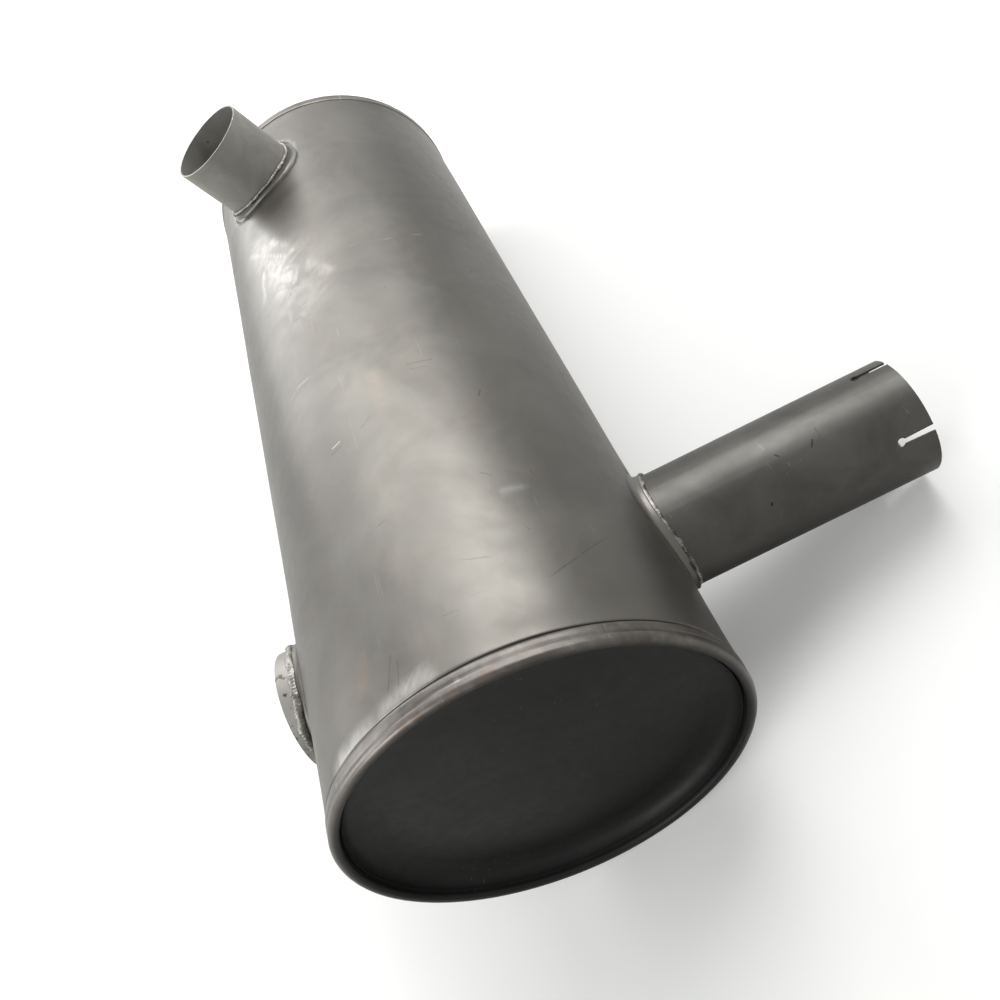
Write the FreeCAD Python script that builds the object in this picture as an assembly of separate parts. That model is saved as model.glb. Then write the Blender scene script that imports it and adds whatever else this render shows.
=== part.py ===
import FreeCAD, Part
import math
import os

# Exhaust muffler of a tracked excavator's engine, as bare welded sheet steel.
# Millimetres. The barrel's axis is Y through the origin, at the middle of its length, and +Z is up.
# The muffler lies on its side: both rolled seams and the lip of the inlet pipe touch the floor.

# Barrel and the seams that lock the pressed heads on to it
seam_diameter = 245.0
body_length = 688.0
sheet = 1.2
seam_height = 12.5
seam_gap = 0.1
seam_proud = 0.75
shoulder_slope = 70.0
shoulder_bend = 1.0
hook_clearance = 1.1
barrel_bead_angle = 235.0
barrel_bead_width = 4.0
barrel_bead_height = 0.6
barrel_bead_from_seam = 6.25

# Pressed heads: a short wall below the seam, a swaged line round it, and a panel with a slight dome
wall_swage_depth = 5.4
wall_swage_step = 1.4
wall_swage_rise = 1.0
wall_swage_bend = 0.9
panel_depth = 17.0
panel_corner = 12.0
dome_rise = 5.0
dome_break = 0.44
dome_spread = 0.82

# Inlet pipe, which runs right through the barrel, and outlet pipe
pipe_diameter = 76.2
pipe_wall = 2.0
inlet_from_near_end = 118.0
inlet_past_seam = 166.5
stub_past_seam = 10.5
outlet_from_far_end = 97.0
outlet_past_seam = 57.0
outlet_angle = 111.9
outlet_inner_reach = 92.0

# Keyhole slots that let a clamp close the inlet's mouth on the pipe inside it
slot_depth = 21.0
slot_root_width = 3.0
slot_mouth_width = 4.0
keyhole_diameter = 5.5
slot_angles = (-57.5, 23.5)

# Mouths of both pipes, sized inside for the pipe that slips into them
socket_diameter = 73.4
inlet_socket_depth = 60.0
outlet_socket_depth = 42.0

# Perforations of the two pipes inside the barrel
hole_diameter = 11.0
inlet_hole_pitch = 24.0
inlet_hole_rows = 9
outlet_hole_pitch = 22.0
outlet_hole_rows = 7
outlet_holes_middle = 14.0
holes_across = 3

# Necks drawn out of the barrel round the pipes, and the beads that weld the pipes to them
neck_gap = 0.2
neck_height = 5.2
neck_bend = 3.2
seat_gap = 0.05
neck_bead_height = 3.0
neck_bead_round = 1.2

# Cups that close the inlet's far end and the outlet's inner end
cap_flange = 9.0
cap_bend = 4.0
cap_recess = 1.6
cap_gap = 0.1
cap_bead = 1.5

# Baffles, and the tubes that carry the gas through them
baffle_sheet = 1.5
front_baffle_from_near_end = 215.0
rear_baffle_from_far_end = 232.0
baffle_flange = 14.0
baffle_bend = 5.0
baffle_gap = 0.1
tube_diameter = 50.8
tube_wall = 1.5
tube_offset = 55.0
tube_gap = 0.1
tube_short_side = 42.0
tube_long_side = 145.0
tube_bead = 3.0
tack_leg = 3.0
tack_sweep = 10.0
tack_count = 4

# How near two points or two surfaces are taken as one, and how many points of an edge are looked at
same_point = 0.000001
same_surface = 0.01
edge_samples = 5

# Worked out from the sizes above
seam_radius = seam_diameter / 2
barrel_radius = seam_radius - seam_proud
barrel_inner = barrel_radius - sheet
inlet_reach = seam_radius + inlet_past_seam
stub_reach = seam_radius + stub_past_seam
outlet_reach = seam_radius + outlet_past_seam
pipe_radius = pipe_diameter / 2
pipe_inner = pipe_radius - pipe_wall
tube_radius = tube_diameter / 2
near_end = -body_length / 2
far_end = body_length / 2
inlet_y = near_end + inlet_from_near_end
outlet_y = far_end - outlet_from_far_end
front_baffle_y = near_end + front_baffle_from_near_end
rear_baffle_y = far_end - rear_baffle_from_far_end
neck_outer = pipe_radius + neck_gap + sheet
layer_pitch = sheet + seam_gap

# The inlet slopes down until the lowest point of its lip is level with the seams' lowest points
lip_distance = math.hypot(inlet_reach, pipe_radius)
inlet_slope = math.degrees(math.asin(seam_radius / lip_distance) - math.atan(pipe_radius / inlet_reach))

origin = FreeCAD.Vector(0, 0, 0)
x_axis = FreeCAD.Vector(1, 0, 0)
y_axis = FreeCAD.Vector(0, 1, 0)
z_axis = FreeCAD.Vector(0, 0, 1)


def save(shape, name):
    """Write one node's STEP file."""
    shape.exportStep("parts/" + name + ".step")


def direction(angle):
    """Unit vector across the barrel, at an angle in degrees from +X towards +Z."""
    turn = math.radians(angle)
    return FreeCAD.Vector(math.cos(turn), 0, math.sin(turn))


inlet_direction = direction(-inlet_slope)
stub_direction = -inlet_direction
outlet_direction = direction(outlet_angle - inlet_slope)
inlet_base = FreeCAD.Vector(0, inlet_y, 0)
outlet_base = FreeCAD.Vector(0, outlet_y, 0)


def side_edges(points, radii, offset):
    """One side of a folded sheet: its centre line, moved sideways by offset, with arcs at the bends."""
    edges = []
    start = None
    for index, corner in enumerate(points):
        first = index == 0
        last = index == len(points) - 1
        if not first:
            into = (corner - points[index - 1]).normalize()
        if not last:
            out = (points[index + 1] - corner).normalize()
        if first or last:
            way = out if first else into
            sideways = FreeCAD.Vector(-way.y, way.x, 0)
            end = corner + sideways * offset
            if not first and (end - start).Length > same_point:
                edges.append(Part.LineSegment(start, end).toShape())
            start = end
            continue
        turn = into.getAngle(out)
        side = 1 if into.x * out.y - into.y * out.x > 0 else -1
        tangent = radii[index - 1] * math.tan(turn / 2)
        bend_start = corner - into * tangent
        bend_end = corner + out * tangent
        centre = bend_start + FreeCAD.Vector(-into.y, into.x, 0) * side * radii[index - 1]
        outward = (corner - centre).normalize()
        arc_start = bend_start + FreeCAD.Vector(-into.y, into.x, 0) * offset
        arc_end = bend_end + FreeCAD.Vector(-out.y, out.x, 0) * offset
        arc_middle = centre + outward * (radii[index - 1] - side * offset)
        if (arc_start - start).Length > same_point:
            edges.append(Part.LineSegment(start, arc_start).toShape())
        edges.append(Part.Arc(arc_start, arc_middle, arc_end).toShape())
        start = arc_end
    return edges, start


def folded_sheet(points, radii, thickness):
    """Face of a sheet's section: centre-line points as (radius, along), and a bend radius at each corner."""
    line = [FreeCAD.Vector(radius, along, 0) for radius, along in points]
    left, left_end = side_edges(line, radii, thickness / 2)
    right, right_end = side_edges(line, radii, -thickness / 2)
    left_start = left[0].valueAt(left[0].FirstParameter)
    right_start = right[0].valueAt(right[0].FirstParameter)
    edges = left + right
    edges.append(Part.LineSegment(left_end, right_end).toShape())
    if (left_start - right_start).Length > same_point:
        edges.append(Part.LineSegment(right_start, left_start).toShape())
    return Part.Face(Part.Wire(Part.__sortEdges__(edges)))


def spun(points, radii, thickness):
    """Sheet folded in section and spun round the barrel's axis."""
    return folded_sheet(points, radii, thickness).revolve(origin, y_axis, 360)


def layer(index):
    """Centre-line radius of one of the five layers of sheet in the seam, counted from the outside."""
    return seam_radius - sheet / 2 - index * layer_pitch


def at_near_end(section):
    """Points given as (radius, depth below the seam's crest), moved to the near end."""
    return [(radius, near_end + depth) for radius, depth in section]


def make_head():
    """Pressed head at the near end, from the tip of its hook, over the seam's crest, to its centre."""
    wall = layer(4)
    inner_wall = wall - wall_swage_step
    fold = seam_height - sheet / 2
    crest = sheet / 2
    centre_depth = panel_depth - dome_rise
    section = [
        (layer(2), crest + 2 * layer_pitch + hook_clearance),
        (layer(2), fold),
        (layer(0), fold),
        (layer(0), crest),
        (wall, crest),
        (wall, wall_swage_depth),
        (inner_wall, wall_swage_depth + wall_swage_rise),
        (inner_wall, panel_depth),
        (inner_wall * dome_break, centre_depth),
        (0, centre_depth),
    ]
    slope = math.atan(dome_rise / (inner_wall * (1 - dome_break)))
    dome_bend = inner_wall * dome_break * dome_spread / math.tan(slope / 2)
    bends = [
        layer_pitch,
        layer_pitch,
        2 * layer_pitch,
        2 * layer_pitch,
        wall_swage_bend,
        wall_swage_bend,
        panel_corner,
        dome_bend,
    ]
    return spun(at_near_end(section), bends, sheet)


def barrel_half():
    """Section of the barrel's near half: hook, crest, wall inside the seam and the shoulder beside it."""
    turn_depth = seam_height - sheet / 2 - layer_pitch
    slope = math.radians(shoulder_slope)
    foot = turn_depth + 2 * layer_pitch * math.tan(slope / 2)
    middle = barrel_radius - sheet / 2
    top = foot + (middle - layer(3)) / math.tan(slope)
    section = [
        (layer(1), turn_depth - hook_clearance),
        (layer(1), sheet / 2 + layer_pitch),
        (layer(3), sheet / 2 + layer_pitch),
        (layer(3), foot),
        (middle, top),
    ]
    return at_near_end(section)


def cross_cylinder(radius, base, way, start, end):
    """Cylinder across the barrel, round a branch's axis, between two distances from the barrel's axis."""
    return Part.makeCylinder(radius, end - start, base + way * start, way)


def barrel_cylinder(radius):
    """Solid round the barrel's axis, longer than the barrel."""
    return Part.makeCylinder(radius, 2 * body_length, FreeCAD.Vector(0, -body_length, 0), y_axis)


def edges_at(shape, base, way, branch_radius, barrel_distance):
    """Edges that lie both on a branch's cylinder and on a cylinder round the barrel's axis."""
    found = []
    for edge in shape.Edges:
        on_both = True
        for step in range(edge_samples):
            share = step / (edge_samples - 1)
            point = edge.valueAt(edge.FirstParameter + (edge.LastParameter - edge.FirstParameter) * share)
            from_branch = (point - base).cross(way).Length
            from_axis = math.hypot(point.x, point.z)
            if abs(from_branch - branch_radius) > same_surface:
                on_both = False
            if abs(from_axis - barrel_distance) > same_surface:
                on_both = False
            if (point - base).dot(way) < 0:
                on_both = False
        if on_both:
            found.append(edge)
    return found


def add_neck(barrel, base, way):
    """Draw a neck out of the barrel's sheet round a branch, bent out of it and open for the pipe."""
    collar = cross_cylinder(neck_outer, base, way, 0, 2 * barrel_radius)
    collar = collar.common(barrel_cylinder(barrel_radius + neck_height)).cut(barrel_cylinder(barrel_inner))
    necked = barrel.fuse(collar).removeSplitter()
    necked = necked.makeFillet(neck_bend, edges_at(necked, base, way, neck_outer, barrel_radius))
    hole = pipe_radius + neck_gap
    necked = necked.cut(cross_cylinder(hole, base, way, 0, 2 * barrel_radius))
    return necked.makeFillet(neck_bend + sheet, edges_at(necked, base, way, hole, barrel_inner))


def make_barrel():
    """Rolled barrel with the hooks of both seams, and the three necks."""
    near_half = barrel_half()
    far_half = [(radius, -along) for radius, along in reversed(near_half)]
    half_bends = [layer_pitch, layer_pitch, 2 * layer_pitch, shoulder_bend]
    barrel = spun(near_half + far_half, half_bends + list(reversed(half_bends)), sheet)
    barrel = add_neck(barrel, inlet_base, inlet_direction)
    barrel = add_neck(barrel, inlet_base, stub_direction)
    return add_neck(barrel, outlet_base, outlet_direction)


def make_neck_bead(base, way):
    """Saddle-shaped weld bead on a neck's lip, round the pipe in it."""
    foot = barrel_radius + neck_height + seat_gap
    ring = cross_cylinder(neck_outer, base, way, 0, 2 * barrel_radius)
    ring = ring.cut(cross_cylinder(pipe_radius + seat_gap, base, way, 0, 2 * barrel_radius))
    ring = ring.common(barrel_cylinder(foot + neck_bead_height)).cut(barrel_cylinder(foot))
    outer_edges = edges_at(ring, base, way, neck_outer, foot + neck_bead_height)
    return ring.makeFillet(neck_bead_round, outer_edges)


def make_barrel_bead():
    """Weld bead along the barrel's butt joint, between the shoulders of the two seams."""
    half_turn = math.degrees(barrel_bead_width / 2 / barrel_radius)
    middle = barrel_bead_angle - inlet_slope
    sides = [
        direction(middle - half_turn) * (barrel_radius + seat_gap),
        direction(middle) * (barrel_radius + seat_gap),
        direction(middle + half_turn) * (barrel_radius + seat_gap),
        direction(middle) * (barrel_radius + seat_gap + barrel_bead_height),
    ]
    from_end = seam_height + barrel_bead_from_seam
    start = FreeCAD.Vector(0, near_end + from_end, 0)
    inner = Part.Arc(start + sides[0], start + sides[1], start + sides[2]).toShape()
    outer = Part.Arc(start + sides[2], start + sides[3], start + sides[0]).toShape()
    section = Part.Face(Part.Wire([inner, outer]))
    return section.extrude(y_axis * (body_length - 2 * from_end))


def pipe_placement(base, way):
    """Placement that carries a piece made along +X, with +Y as it is, on to a branch's axis."""
    up = way.cross(y_axis)
    return FreeCAD.Placement(base, FreeCAD.Rotation(way, y_axis, up, "XYZ"))


def make_pipe(start, mouth, socket_depth):
    """Open pipe along +X, with a socket sized inside its mouth."""
    pipe = Part.makeCylinder(pipe_radius, mouth - start, x_axis * start, x_axis)
    pipe = pipe.cut(Part.makeCylinder(pipe_inner, mouth - start, x_axis * start, x_axis))
    shoulder = x_axis * (mouth - socket_depth)
    return pipe.cut(Part.makeCylinder(socket_diameter / 2, socket_depth, shoulder, x_axis))


def keyhole_cuts():
    """Cutters for the slots at the inlet's mouth, each through both walls, widening to the mouth."""
    root = inlet_reach - slot_depth
    reach = 2 * pipe_radius
    cuts = []
    for angle in slot_angles:
        corners = [
            FreeCAD.Vector(root, -slot_root_width / 2, -reach / 2),
            FreeCAD.Vector(inlet_reach, -slot_mouth_width / 2, -reach / 2),
            FreeCAD.Vector(inlet_reach + pipe_wall, -slot_mouth_width / 2, -reach / 2),
            FreeCAD.Vector(inlet_reach + pipe_wall, slot_mouth_width / 2, -reach / 2),
            FreeCAD.Vector(inlet_reach, slot_mouth_width / 2, -reach / 2),
            FreeCAD.Vector(root, slot_root_width / 2, -reach / 2),
        ]
        slot = Part.Face(Part.makePolygon(corners + corners[:1])).extrude(z_axis * reach)
        hole = Part.makeCylinder(keyhole_diameter / 2, reach, FreeCAD.Vector(root, 0, -reach / 2), z_axis)
        for cutter in (slot, hole):
            cutter.rotate(origin, x_axis, -angle)
            cuts.append(cutter)
    return cuts


def perforation_cuts(middle, rows, pitch):
    """Drills for the rows of holes in a pipe along +X, each through both walls, staggered row by row."""
    reach = 2 * pipe_radius
    step = 180 / holes_across
    cuts = []
    for row in range(rows):
        along = middle + (row - (rows - 1) / 2) * pitch
        for across in range(holes_across):
            drill = Part.makeCylinder(hole_diameter / 2, reach, FreeCAD.Vector(along, 0, -reach / 2), z_axis)
            drill.rotate(origin, x_axis, step * (across + row % 2 / 2))
            cuts.append(drill)
    return cuts


def make_inlet_pipe():
    """Pipe right through the barrel: slotted mouth, perforated middle and a blind end outside the wall."""
    pipe = make_pipe(-stub_reach, inlet_reach, inlet_socket_depth)
    holes = perforation_cuts(0, inlet_hole_rows, inlet_hole_pitch)
    pipe = pipe.cut(Part.Compound(keyhole_cuts() + holes))
    pipe.Placement = pipe_placement(inlet_base, inlet_direction)
    return pipe


def make_outlet_pipe():
    """Pipe out of the rear chamber, perforated where it crosses the chamber."""
    pipe = make_pipe(-outlet_inner_reach, outlet_reach, outlet_socket_depth)
    holes = perforation_cuts(outlet_holes_middle, outlet_hole_rows, outlet_hole_pitch)
    pipe = pipe.cut(Part.Compound(holes))
    pipe.Placement = pipe_placement(outlet_base, outlet_direction)
    return pipe


def make_cap(base, way, end):
    """Pressed cup that closes a pipe, its rim just inside the pipe's end."""
    middle = pipe_inner - cap_gap - sheet / 2
    rim = end - cap_recess
    section = [(middle, rim), (middle, rim - cap_flange), (0, rim - cap_flange)]
    cup = folded_sheet(section, [cap_bend], sheet).revolve(origin, y_axis, 360)
    cup.rotate(origin, z_axis, -90)
    cup.Placement = pipe_placement(base, way).multiply(cup.Placement)
    return cup


def make_cap_bead(base, way, end):
    """Ring of weld in the corner between a pipe's inner wall and the rim of its cup."""
    wall = pipe_inner - seat_gap
    foot = end - cap_recess + seat_gap
    corners = [
        FreeCAD.Vector(foot, wall, 0),
        FreeCAD.Vector(foot, wall - cap_bead, 0),
        FreeCAD.Vector(foot + cap_bead, wall, 0),
    ]
    ring = Part.Face(Part.makePolygon(corners + corners[:1])).revolve(origin, x_axis, 360)
    ring.Placement = pipe_placement(base, way)
    return ring


def tube_centres(angles):
    """Centres of a pair of transfer tubes, as seen along the barrel."""
    return [direction(angle) * tube_offset for angle in angles]


front_tube_centres = tube_centres((0, 180))
rear_tube_centres = tube_centres((90, 270))


def make_baffle(along, flange_way, centres):
    """Pressed baffle with a flange that fits the barrel and a hole for each transfer tube."""
    rim = barrel_inner - baffle_gap - baffle_sheet / 2
    section = [(rim, along + flange_way * baffle_flange), (rim, along), (0, along)]
    baffle = spun(section, [baffle_bend], baffle_sheet)
    for centre in centres:
        start = centre + y_axis * (along - baffle_flange)
        baffle = baffle.cut(Part.makeCylinder(tube_radius + tube_gap, 2 * baffle_flange, start, y_axis))
    return baffle


def make_transfer_tube(along, long_way, centre):
    """Open tube through a baffle, longer on its side towards the middle chamber."""
    near = -tube_short_side if long_way > 0 else -tube_long_side
    length = tube_short_side + tube_long_side
    start = centre + y_axis * (along + near)
    outside = Part.makeCylinder(tube_radius, length, start, y_axis)
    return outside.cut(Part.makeCylinder(tube_radius - tube_wall, length, start, y_axis))


def make_tube_beads(along, weld_way, centres):
    """Fillet welds that fix a pair of transfer tubes to one face of their baffle."""
    face = along + weld_way * (baffle_sheet / 2 + seat_gap)
    wall = tube_radius + seat_gap
    rings = []
    for centre in centres:
        corners = [
            centre + FreeCAD.Vector(wall, face, 0),
            centre + FreeCAD.Vector(wall + tube_bead, face, 0),
            centre + FreeCAD.Vector(wall, face + weld_way * tube_bead, 0),
        ]
        section = Part.Face(Part.makePolygon(corners + corners[:1]))
        rings.append(section.revolve(centre, y_axis, 360))
    return Part.Compound(rings)


def make_baffle_tacks(along, flange_way):
    """Short welds between a baffle's flange and the barrel, evenly round it."""
    edge = along + flange_way * (baffle_flange + seat_gap)
    wall = barrel_inner - seat_gap
    corners = [
        FreeCAD.Vector(wall, edge, 0),
        FreeCAD.Vector(wall - baffle_sheet, edge, 0),
        FreeCAD.Vector(wall, edge + flange_way * tack_leg, 0),
    ]
    section = Part.Face(Part.makePolygon(corners + corners[:1]))
    tacks = []
    for index in range(tack_count):
        tack = section.revolve(origin, y_axis, tack_sweep)
        tack.rotate(origin, y_axis, (index + 0.5) * 360 / tack_count)
        tacks.append(tack)
    return Part.Compound(tacks)


def main():
    """Make every piece of the muffler."""
    near_head = make_head()
    save(near_head, "near_head")
    save(near_head.mirror(origin, y_axis), "far_head")
    save(make_barrel(), "barrel")
    save(make_barrel_bead(), "barrel_seam_weld")

    save(make_inlet_pipe(), "inlet_pipe")
    save(make_cap(inlet_base, stub_direction, stub_reach), "inlet_end_cap")
    save(make_cap_bead(inlet_base, stub_direction, stub_reach), "inlet_cap_weld")
    save(make_neck_bead(inlet_base, inlet_direction), "inlet_neck_weld")
    save(make_neck_bead(inlet_base, stub_direction), "stub_neck_weld")

    save(make_outlet_pipe(), "outlet_pipe")
    save(make_cap(outlet_base, -outlet_direction, outlet_inner_reach), "outlet_end_cap")
    save(make_cap_bead(outlet_base, -outlet_direction, outlet_inner_reach), "outlet_cap_weld")
    save(make_neck_bead(outlet_base, outlet_direction), "outlet_neck_weld")

    save(make_baffle(front_baffle_y, -1, front_tube_centres), "front_baffle")
    save(make_baffle_tacks(front_baffle_y, -1), "front_baffle_tacks")
    save(make_tube_beads(front_baffle_y, 1, front_tube_centres), "front_tube_welds")
    for side, centre in zip(("right", "left"), front_tube_centres):
        save(make_transfer_tube(front_baffle_y, 1, centre), "front_transfer_tube_" + side)

    save(make_baffle(rear_baffle_y, 1, rear_tube_centres), "rear_baffle")
    save(make_baffle_tacks(rear_baffle_y, 1), "rear_baffle_tacks")
    save(make_tube_beads(rear_baffle_y, -1, rear_tube_centres), "rear_tube_welds")
    for side, centre in zip(("upper", "lower"), rear_tube_centres):
        save(make_transfer_tube(rear_baffle_y, -1, centre), "rear_transfer_tube_" + side)


main()
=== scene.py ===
"""Looks of an exhaust muffler for a tracked excavator's engine, in bare welded steel.

Sizes in the classes are millimetres, and meshes are metres. The barrel lies along Y and +Z is up.
"""

import logging
import math
from dataclasses import dataclass
from enum import Enum

import bpy
import numpy as np
from bpy.types import Material, NodeSocket, Object, World
from mathutils import Matrix


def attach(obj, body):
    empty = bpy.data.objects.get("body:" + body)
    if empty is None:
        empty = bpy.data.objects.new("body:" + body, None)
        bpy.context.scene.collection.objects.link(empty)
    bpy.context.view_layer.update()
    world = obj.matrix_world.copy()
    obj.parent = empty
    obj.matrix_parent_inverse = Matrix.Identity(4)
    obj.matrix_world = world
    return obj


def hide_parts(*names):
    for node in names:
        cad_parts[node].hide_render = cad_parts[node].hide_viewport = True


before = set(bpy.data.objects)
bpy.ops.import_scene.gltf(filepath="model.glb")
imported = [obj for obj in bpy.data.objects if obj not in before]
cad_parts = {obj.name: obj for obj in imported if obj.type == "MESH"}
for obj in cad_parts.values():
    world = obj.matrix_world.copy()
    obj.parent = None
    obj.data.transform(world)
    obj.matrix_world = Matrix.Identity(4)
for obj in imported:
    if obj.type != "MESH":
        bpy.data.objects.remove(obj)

MM = 0.001
log = logging.getLogger("muffler")
Y_AXIS = np.array([0.0, 1.0, 0.0])
# Degrees that the long pipe's axis dips from +X towards -Z
INLET_DIP = 17.33947623
Place = tuple[float, float, float]


class Slot(Enum):
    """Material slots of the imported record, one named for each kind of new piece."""

    BARREL = "barrel_steel"
    HEAD = "head_steel"
    WELD = "weld_metal"


# Sizes shared by the pieces


@dataclass(frozen=True)
class Branch:
    """A pipe's axis, square to the barrel's.

    The angle runs from +X towards +Z, in degrees, and along is its place on Y in millimetres.
    """

    angle: float
    along: float

    @property
    def way(self) -> np.ndarray:
        """Unit vector out of the barrel."""
        turn = math.radians(self.angle)
        return np.array([math.cos(turn), 0.0, math.sin(turn)])

    @property
    def across(self) -> np.ndarray:
        """Unit vector square to the branch and to the barrel."""
        return np.cross(Y_AXIS, self.way)

    def ring(self, reach: np.ndarray, out: np.ndarray, around: np.ndarray) -> np.ndarray:
        """Points at a distance out from the branch's axis and a reach along it.

        Args:
            reach: distances from the barrel's axis.
            out: distances from the branch's axis.
            around: angles round the branch in radians.

        Returns:
            Points: base + reach * way + out * (cos * across + sin * Y).
        """
        base = self.along * Y_AXIS
        side = np.cos(around)[..., None] * self.across + np.sin(around)[..., None] * Y_AXIS
        return base + reach[..., None] * self.way + out[..., None] * side

    def saddle(self, lift: np.ndarray, out: np.ndarray, around: np.ndarray) -> np.ndarray:
        """Points at a lift over the wall: reach is the root of (radius + lift)^2 - (out * cos)^2."""
        reach = np.sqrt((SIZES.barrel_radius + lift) ** 2 - (out * np.cos(around)) ** 2)
        return self.ring(reach, out, around)


@dataclass(frozen=True)
class MufflerSizes:
    """Sizes that several pieces share, the same as the solids have."""

    seam_radius: float = 122.5
    barrel_radius: float = 121.75
    half_length: float = 344.0
    sheet: float = 1.2
    layer_pitch: float = 1.3
    seam_height: float = 12.5
    pipe_radius: float = 38.1
    pipe_inner: float = 36.1
    neck_gap: float = 0.2
    neck_height: float = 5.2
    neck_bend: float = 3.2
    stub_reach: float = 133.0
    inlet: Branch = Branch(-INLET_DIP, -226.0)
    stub: Branch = Branch(180.0 - INLET_DIP, -226.0)
    outlet: Branch = Branch(111.9 - INLET_DIP, 247.0)

    @property
    def neck_outer(self) -> float:
        """Outside radius of a neck."""
        return self.pipe_radius + self.neck_gap + self.sheet


SIZES = MufflerSizes()


# Meshes


def circle(count: int) -> np.ndarray:
    """Evenly spaced angles of a closed loop, in a column."""
    return np.linspace(0, 2 * np.pi, count, endpoint=False)[:, None]


def periodic_noise(count: int, waves: int, seed: int) -> np.ndarray:
    """Smooth random values round a closed loop.

    The sum over k = 1..waves of cos(k * angle + phase) / k^0.5, scaled to a spread of one.

    Args:
        count: samples round the loop.
        waves: highest wave number.
        seed: seed of the phases.

    Returns:
        One value per sample, in a column.
    """
    rng = np.random.default_rng(seed)
    k = np.arange(1, waves + 1)
    phase = rng.uniform(0, 2 * np.pi, waves)
    values = (np.cos(k * circle(count) + phase) * rng.normal(1, 0.4, waves) / k**0.5).sum(1)
    return (values / values.std())[:, None]


def grid_faces(rows: int, columns: int, close_rows: bool, close_columns: bool) -> np.ndarray:
    """Quads of a grid of points.

    Args:
        rows: points in the first direction.
        columns: points in the second direction.
        close_rows: whether the last row joins the first.
        close_columns: whether the last column joins the first.

    Returns:
        An array of four indices per quad.
    """
    i = np.arange(rows if close_rows else rows - 1)[:, None]
    j = np.arange(columns if close_columns else columns - 1)[None, :]
    i2, j2 = (i + 1) % rows, (j + 1) % columns
    quads = [i * columns + j, i * columns + j2, i2 * columns + j2, i2 * columns + j]
    return np.stack(np.broadcast_arrays(*quads), -1).reshape(-1, 4)


def make_object(
    name: str, points: np.ndarray, quads: np.ndarray, outward: bool, **fields: np.ndarray
) -> Object:
    """Put points and quads into a smooth mesh object at the origin.

    Args:
        name: the piece's name.
        points: vertex places in millimetres.
        quads: four indices per face; a quad with two equal places becomes a triangle.
        outward: True for a closed shape, which is turned so that its volume is positive.
        fields: numbers or vectors for each point, kept as attributes under their own names.

    Returns:
        The new object, linked to the scene.
    """
    flat = points.reshape(-1, 3) * MM
    keys, first, inverse = np.unique(np.round(flat, 8), axis=0, return_index=True, return_inverse=True)
    inverse = inverse.reshape(-1)
    faces = inverse[quads]
    if outward:
        a, b, c, d = (keys[faces[:, k]] for k in range(4))
        volume = np.einsum("ij,ij->", a, np.cross(b, c)) + np.einsum("ij,ij->", a, np.cross(c, d))
        if volume < 0:
            faces = faces[:, ::-1]
    double = faces == np.roll(faces, -1, axis=1)
    keep = ~double
    faces = faces[keep.sum(1) >= 3]
    keep = keep[keep.sum(1) >= 3]
    mesh = bpy.data.meshes.new(name)
    lists = [face[kept].tolist() for face, kept in zip(faces, keep)]
    mesh.from_pydata(keys.tolist(), [], lists)
    mesh.validate()
    mesh.shade_smooth()
    for key, field in fields.items():
        deep = points.ndim == field.ndim and field.shape[-1] == 3
        size = 3 if deep else 1
        values = np.broadcast_to(field, points.shape[:-1] + (3,) * deep).reshape(-1, size)[first].reshape(-1)
        kind, slot = ("FLOAT_VECTOR", "vector") if deep else ("FLOAT", "value")
        mesh.attributes.new(key, kind, "POINT").data.foreach_set(slot, values.astype(np.float32))
    piece = bpy.data.objects.new(name, mesh)
    bpy.context.scene.collection.objects.link(piece)
    return piece


def bent_line(
    corners: list[tuple[float, float]], radii: list[float], step: float = 0.05
) -> tuple[np.ndarray, np.ndarray]:
    """Centre line of a folded sheet, with an arc at each corner.

    Args:
        corners: (radius, depth) points of the line before it is bent.
        radii: bend radius at each inner corner.
        step: spacing of the samples.

    Returns:
        Points along the line, and the unit normals on its left.
    """
    line = np.array(corners, float)
    points, normals = [], []
    start = line[0]
    for k, radius in enumerate(radii, 1):
        into = (line[k] - line[k - 1]) / np.linalg.norm(line[k] - line[k - 1])
        out = (line[k + 1] - line[k]) / np.linalg.norm(line[k + 1] - line[k])
        side = np.sign(into[0] * out[1] - into[1] * out[0])
        turn = math.acos(np.clip(into @ out, -1, 1))
        bend_start = line[k] - into * radius * math.tan(turn / 2)
        left = np.array([-into[1], into[0]])
        count = max(2, int(np.linalg.norm(bend_start - start) / step))
        samples = np.linspace(0, 1, count, endpoint=False)[:, None]
        points.append(start + (bend_start - start) * samples)
        normals.append(np.repeat(left[None], len(samples), 0))
        angle = side * np.linspace(0, turn, max(3, int(radius * turn / step)), endpoint=False)
        cos, sin = np.cos(angle), np.sin(angle)
        turned = np.stack([left[0] * cos - left[1] * sin, left[0] * sin + left[1] * cos], 1)
        points.append(bend_start + side * radius * (left - turned))
        normals.append(turned)
        start = line[k] + out * radius * math.tan(turn / 2)
    samples = np.linspace(0, 1, max(2, int(np.linalg.norm(line[-1] - start) / step)))[:, None]
    last = line[-1] - start
    left = np.array([-last[1], last[0]]) / np.linalg.norm(last)
    points.append(start + last * samples)
    normals.append(np.repeat(left[None], len(samples), 0))
    return np.concatenate(points), np.concatenate(normals)


def thin_out(points: np.ndarray, spacing: np.ndarray) -> np.ndarray:
    """Resample a line so that neighbours lie a wanted distance apart.

    The running sum of length / spacing is cut in equal steps, and the ends are kept.

    Args:
        points: a dense line.
        spacing: wanted distance at each of its points.

    Returns:
        The thinner line.
    """
    lengths = np.linalg.norm(np.diff(points, axis=0), axis=1)
    run = np.concatenate([[0], np.cumsum(lengths / (spacing[1:] + spacing[:-1]) * 2)])
    wanted = np.linspace(0, run[-1], max(3, int(run[-1]) + 1))
    return np.stack([np.interp(wanted, run, points[:, k]) for k in range(points.shape[1])], 1)


# Finishes

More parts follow.
